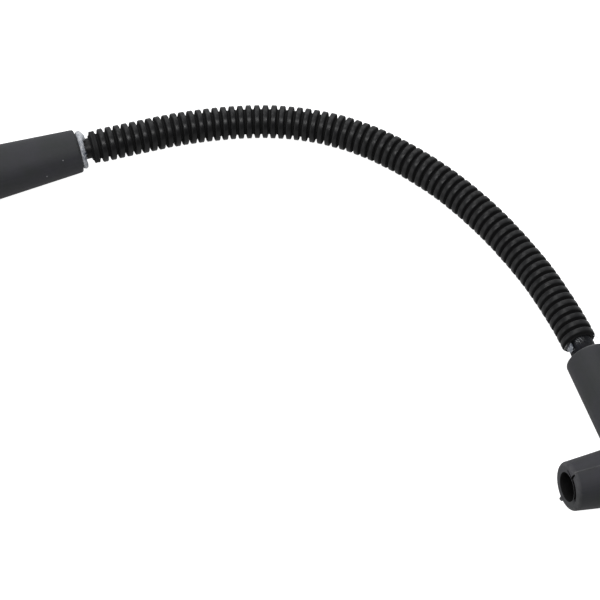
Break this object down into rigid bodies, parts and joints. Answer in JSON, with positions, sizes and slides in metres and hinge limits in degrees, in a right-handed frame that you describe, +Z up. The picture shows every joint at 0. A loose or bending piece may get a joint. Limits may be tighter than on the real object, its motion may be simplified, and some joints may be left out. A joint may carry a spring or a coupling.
{
  "type": "spark plug wire",
  "caption": "Ignition lead: black cable in a corrugated loom, with a straight rubber boot at the coil end and a right-angle rubber boot at the plug end.",
  "frame": {"origin": "on the surface the wire lies on, under the middle of the box round the two boots and their terminals", "axes": "+X along the coil boot's axis from its mouth towards the loom; +Z up from the surface; both boots open towards -X"},
  "size_m": [0.2404, 0.2164, 0.0247],
  "materials": {
    "boot_rubber": "satin moulded rubber",
    "terminal_brass": "bare sheet",
    "terminal_steel": "bare sheet",
    "spring_steel": "drawn wire",
    "cable_jacket": "satin",
    "cable_insulation": "matte",
    "cable_core": "woven carbon core",
    "loom_plastic": "satin moulded plastic",
    "sealant": "glossy cured silicone",
    "black_sealant": "smeared black sealant with pale flecks"
  },
  "bodies": {
    "root": {"coil_boot": "boot_rubber", "plug_boot": "boot_rubber", "coil_terminal": "terminal_brass", "coil_spring_clip": "spring_steel", "plug_terminal": "terminal_steel", "plug_spring_clip": "spring_steel", "cable_jacket": "cable_jacket", "cable_insulation": "cable_insulation", "cable_conductor": "cable_core", "loom": "loom_plastic", "coil_end_sealant": "sealant", "plug_end_sealant": "black_sealant"}
  },
  "joints": []
}
